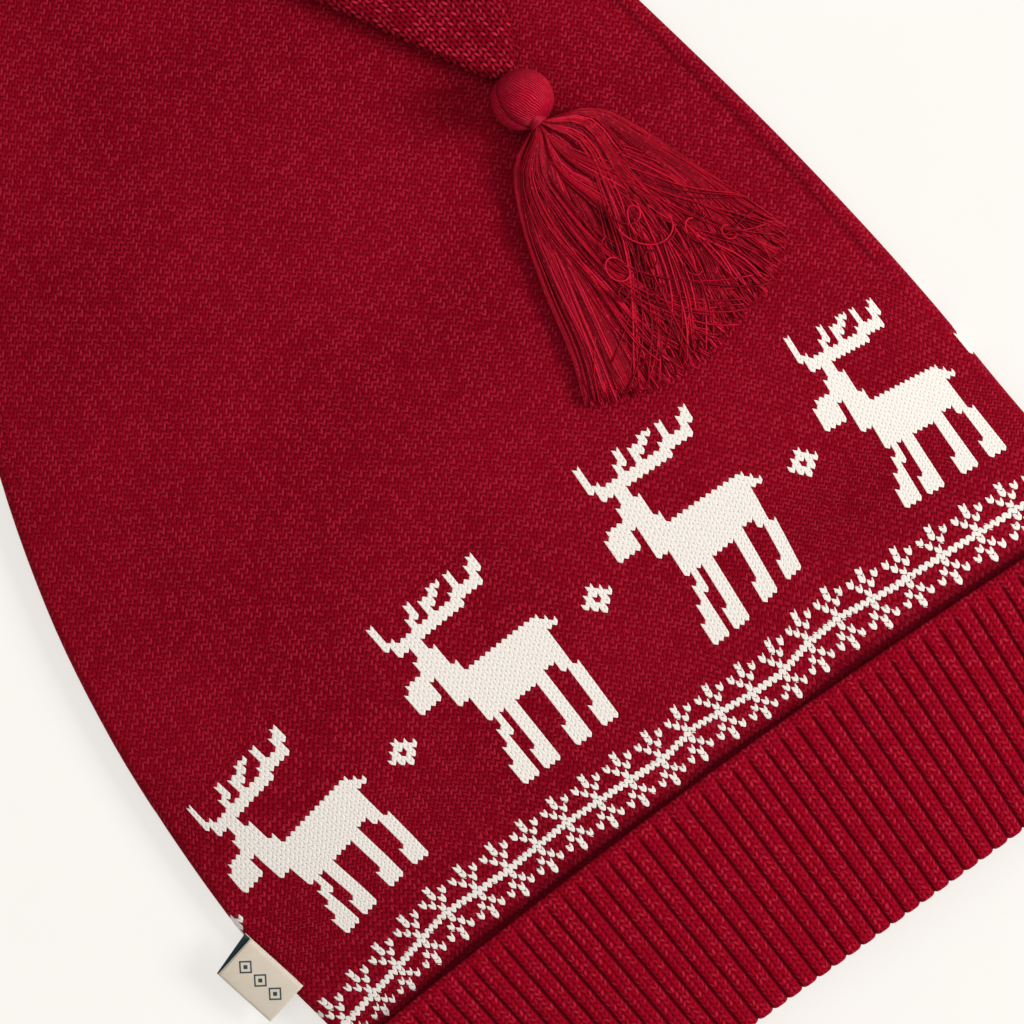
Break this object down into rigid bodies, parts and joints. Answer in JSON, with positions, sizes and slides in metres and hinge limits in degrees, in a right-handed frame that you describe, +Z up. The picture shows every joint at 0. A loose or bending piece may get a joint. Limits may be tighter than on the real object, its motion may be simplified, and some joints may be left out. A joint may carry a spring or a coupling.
{
  "type": "knitted stocking cap",
  "caption": "Child's knitted stocking cap lying flat: a tapering tube with a turned-up ribbed cuff, a long tip folded down over the front, a tassel and a side label.",
  "frame": {"origin": "under the middle of the whole cap's box, on the surface that the cap lies on", "axes": "+X across the cap, towards the side that the folded tip lies on; +Y from the cuff to the fold; +Z up from the surface, out of the cap's front"},
  "size_m": [0.225, 0.319, 0.0243],
  "materials": {
    "crown_knit": "plain knitted cotton in deep red, with a band of animals and snowflakes knitted in off-white",
    "cuff_rib": "ribbed cotton knit in deep red",
    "tassel_yarn": "loose twisted cotton threads with a soft sheen",
    "label_tape": "woven cream tape"
  },
  "bodies": {
    "root": {"crown": "crown_knit", "cuff": "cuff_rib", "tassel": "tassel_yarn", "label": "label_tape"}
  },
  "joints": []
}
